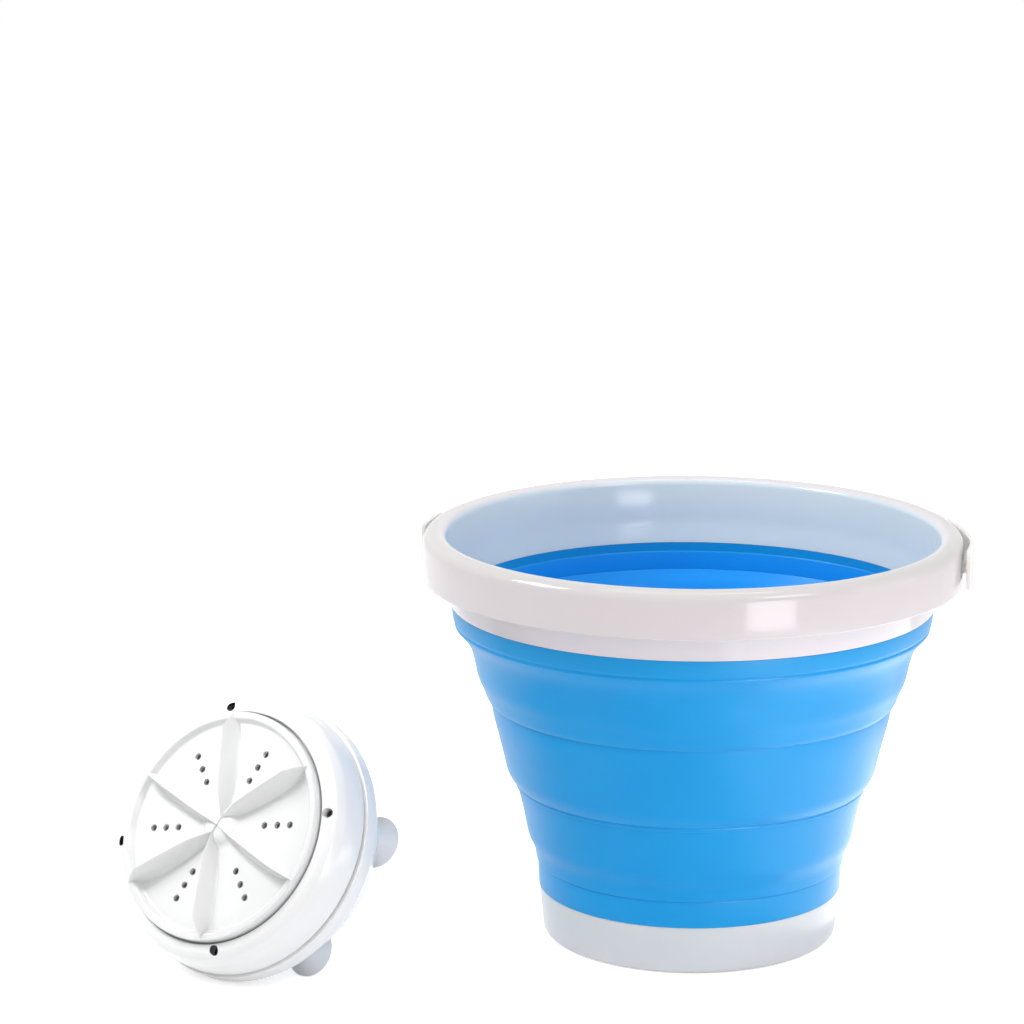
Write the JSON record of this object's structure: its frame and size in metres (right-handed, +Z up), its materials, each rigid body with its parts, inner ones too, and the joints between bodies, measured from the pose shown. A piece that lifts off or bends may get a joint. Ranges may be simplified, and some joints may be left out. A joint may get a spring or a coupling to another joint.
{
  "type": "portable washing machine",
  "caption": "Portable turbine washer with a vaned impeller and suction cups, beside its folding bucket with a soft blue wall and a bail handle.",
  "frame": {"origin": "centre of the bucket's flat underside, on the surface that everything stands on", "axes": "+Z up along the bucket's axis; +X to the right, with the bail handle's axis turned 10 degrees clockwise from it as seen from above; -Y is the front, from which the washer stands at the left"},
  "size_m": [0.4861, 0.314, 0.239],
  "materials": {
    "white_pp": "smooth moulded polypropylene, slightly translucent",
    "white_abs": "glossy moulded ABS",
    "blue_tpr": "satin thermoplastic rubber",
    "black_rubber": "matte moulded rubber",
    "clear_rubber": "milky soft rubber",
    "dark_steel": "black oxide",
    "steel": "plain zinc-plated steel",
    "brass": "turned brass",
    "gear_nylon": "natural nylon",
    "board_green": "green solder mask"
  },
  "bodies": {
    "bucket_base": {"base_shell": "white_pp", "lower_wall": "blue_tpr", "lower_fold": "blue_tpr"},
    "middle_ring": {"middle_wall": "blue_tpr", "upper_fold": "blue_tpr"},
    "rim": {"collar": "white_pp", "upper_wall": "blue_tpr"},
    "bail": {"handle": "white_pp"},
    "washer_housing": {"front_cover": "white_abs", "back_cover": "white_abs", "housing_seal": "black_rubber", "case_screw_1": "dark_steel", "case_screw_2": "dark_steel", "case_screw_3": "dark_steel", "case_screw_4": "dark_steel", "suction_cup_1": "clear_rubber", "suction_cup_2": "clear_rubber", "suction_cup_3": "clear_rubber", "suction_cup_4": "clear_rubber", "suction_cup_5": "clear_rubber", "front_bush": "brass", "rear_bush": "brass", "shaft_seal": "black_rubber", "idler_pin": "steel", "gear_plate": "steel", "plate_screw_1": "steel", "plate_screw_2": "steel", "plate_screw_3": "steel", "motor": "steel", "motor_screw_1": "steel", "motor_screw_2": "steel", "control_board": "board_green", "cable_gland": "black_rubber"},
    "pulsator": {"impeller": "white_abs", "impeller_insert": "brass", "output_shaft": "steel", "output_gear": "gear_nylon"},
    "idler": {"idler_gear": "gear_nylon"},
    "rotor": {"motor_shaft": "steel", "motor_pinion": "brass"}
  },
  "joints": [
    {"name": "lower_fold_slide", "type": "slide", "parent": "bucket_base", "child": "middle_ring", "axis": [0, 0, -1], "range_m": [0, 0.086], "deforming": ["lower_fold"]},
    {"name": "upper_fold_slide", "type": "slide", "parent": "middle_ring", "child": "rim", "axis": [0, 0, -1], "range_m": [0, 0.088], "deforming": ["upper_fold"]},
    {"name": "handle_hinge", "type": "hinge", "parent": "rim", "child": "bail", "pos_m": [0, 0, 0.2252], "axis": [0.9848, -0.1736, 0], "range_deg": [0, 180]},
    {"name": "washer_lift", "type": "slide", "parent": "bucket_base", "child": "washer_housing", "axis": [0, 0, 1], "range_m": [0, 0.3]},
    {"name": "impeller_spin", "type": "hinge", "parent": "washer_housing", "child": "pulsator", "pos_m": [-0.25935, -0.09551, 0.08544], "axis": [-0.4891, -0.7252, 0.4847], "continuous": true},
    {"name": "idler_spin", "type": "hinge", "parent": "washer_housing", "child": "idler", "pos_m": [-0.24849, -0.07942, 0.09983], "axis": [-0.4891, -0.7252, 0.4847], "continuous": true},
    {"name": "motor_spin", "type": "hinge", "parent": "washer_housing", "child": "rotor", "pos_m": [-0.23816, -0.08938, 0.08504], "axis": [-0.4891, -0.7252, 0.4847], "continuous": true}
  ],
  "couplings": [
    {"joint": "upper_fold_slide", "follows": "lower_fold_slide", "ratio": 1.0233},
    {"joint": "idler_spin", "follows": "impeller_spin", "ratio": -2.6667},
    {"joint": "motor_spin", "follows": "impeller_spin", "ratio": 8}
  ]
}
